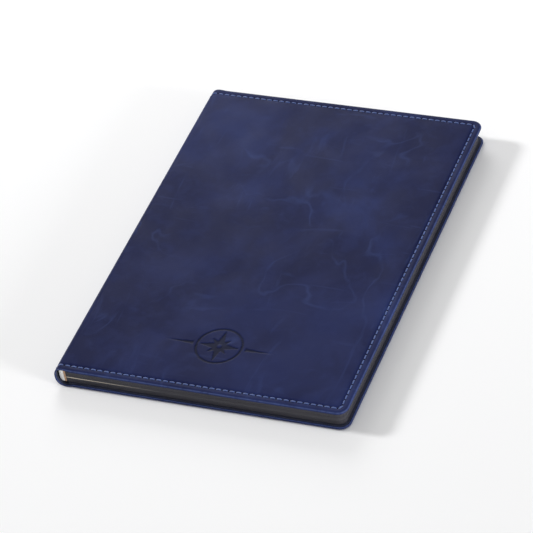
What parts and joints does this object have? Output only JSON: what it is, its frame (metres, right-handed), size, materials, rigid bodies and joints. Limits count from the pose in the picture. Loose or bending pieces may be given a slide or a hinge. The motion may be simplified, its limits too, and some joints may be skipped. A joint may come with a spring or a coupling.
{
  "type": "pilot logbook",
  "caption": "Soft-cover A5 logbook: a sewn block of dark-edged pages in a stitched navy leather wrap with a hollow rounded spine. The cover and the leaves open.",
  "frame": {"origin": "under the middle of the closed book, on the back cover's outer face", "axes": "+X from the spine to the fore-edge, +Y from the tail to the head, +Z from the back cover up to the front cover"},
  "size_m": [0.15, 0.2134, 0.0117],
  "materials": {
    "cover_leather": "navy pull-up leather, mottled, soft satin sheen",
    "cover_thread": "twisted polyester thread, lighter blue than the leather",
    "cover_foam": "thin closed-cell foam sheet",
    "cover_board": "thin flexible grey board",
    "cover_lining": "dark navy lining cloth, fine weave",
    "endpaper": "heavy uncoated off-white paper",
    "pages": "ruled off-white paper, all edges coloured dark grey",
    "divider_card": "thin cream card",
    "mull_gauze": "open-weave bookbinder's gauze with dried glue",
    "kraft_paper": "tan kraft paper",
    "end_band": "white woven cotton band"
  },
  "bodies": {
    "root": {"back_cover_leather": "cover_leather", "back_joint_leather": "cover_leather", "back_foam": "cover_foam", "back_board": "cover_board", "back_lining": "cover_lining", "back_pastedown": "endpaper", "back_stitching": "cover_thread", "back_flyleaf": "endpaper", "section_11": "pages", "section_10": "pages", "section_09": "pages", "section_08": "pages", "divider_leaf": "divider_card", "section_07": "pages", "section_06_back_leaves": "pages", "back_mull": "mull_gauze", "back_kraft_lining": "kraft_paper", "back_headband": "end_band", "back_tailband": "end_band"},
    "front_leaves": {"front_flyleaf": "endpaper", "section_01": "pages", "section_02": "pages", "section_03": "pages", "section_04": "pages", "section_05": "pages", "section_06_front_leaves": "pages", "front_mull": "mull_gauze", "front_kraft_lining": "kraft_paper", "front_headband": "end_band", "front_tailband": "end_band"},
    "spine": {"spine_leather": "cover_leather", "spine_lining": "cover_lining"},
    "front_joint": {"front_joint_leather": "cover_leather"},
    "front_cover": {"front_cover_leather": "cover_leather", "front_foam": "cover_foam", "front_board": "cover_board", "front_lining": "cover_lining", "front_pastedown": "endpaper", "front_stitching": "cover_thread"}
  },
  "joints": [
    {"name": "front_leaves_turn", "type": "hinge", "parent": "root", "child": "front_leaves", "pos_m": [-0.07215, 0, 0.0061], "axis": [0, -1, 0], "range_deg": [0, 180]},
    {"name": "spine_fold", "type": "hinge", "parent": "root", "child": "spine", "pos_m": [-0.0744, 0, 0.0006], "axis": [0, -1, 0], "range_deg": [0, 90]},
    {"name": "front_joint_fold", "type": "hinge", "parent": "spine", "child": "front_joint", "pos_m": [-0.0744, 0, 0.01115], "axis": [0, -1, 0], "range_deg": [0, 90]},
    {"name": "front_cover_open", "type": "hinge", "parent": "front_joint", "child": "front_cover", "pos_m": [-0.0685, 0, 0.01185], "axis": [0, -1, 0], "range_deg": [0, 180]}
  ],
  "couplings": [
    {"joint": "spine_fold", "follows": "front_leaves_turn", "ratio": 0.5},
    {"joint": "front_joint_fold", "follows": "front_leaves_turn", "ratio": 0.5}
  ]
}
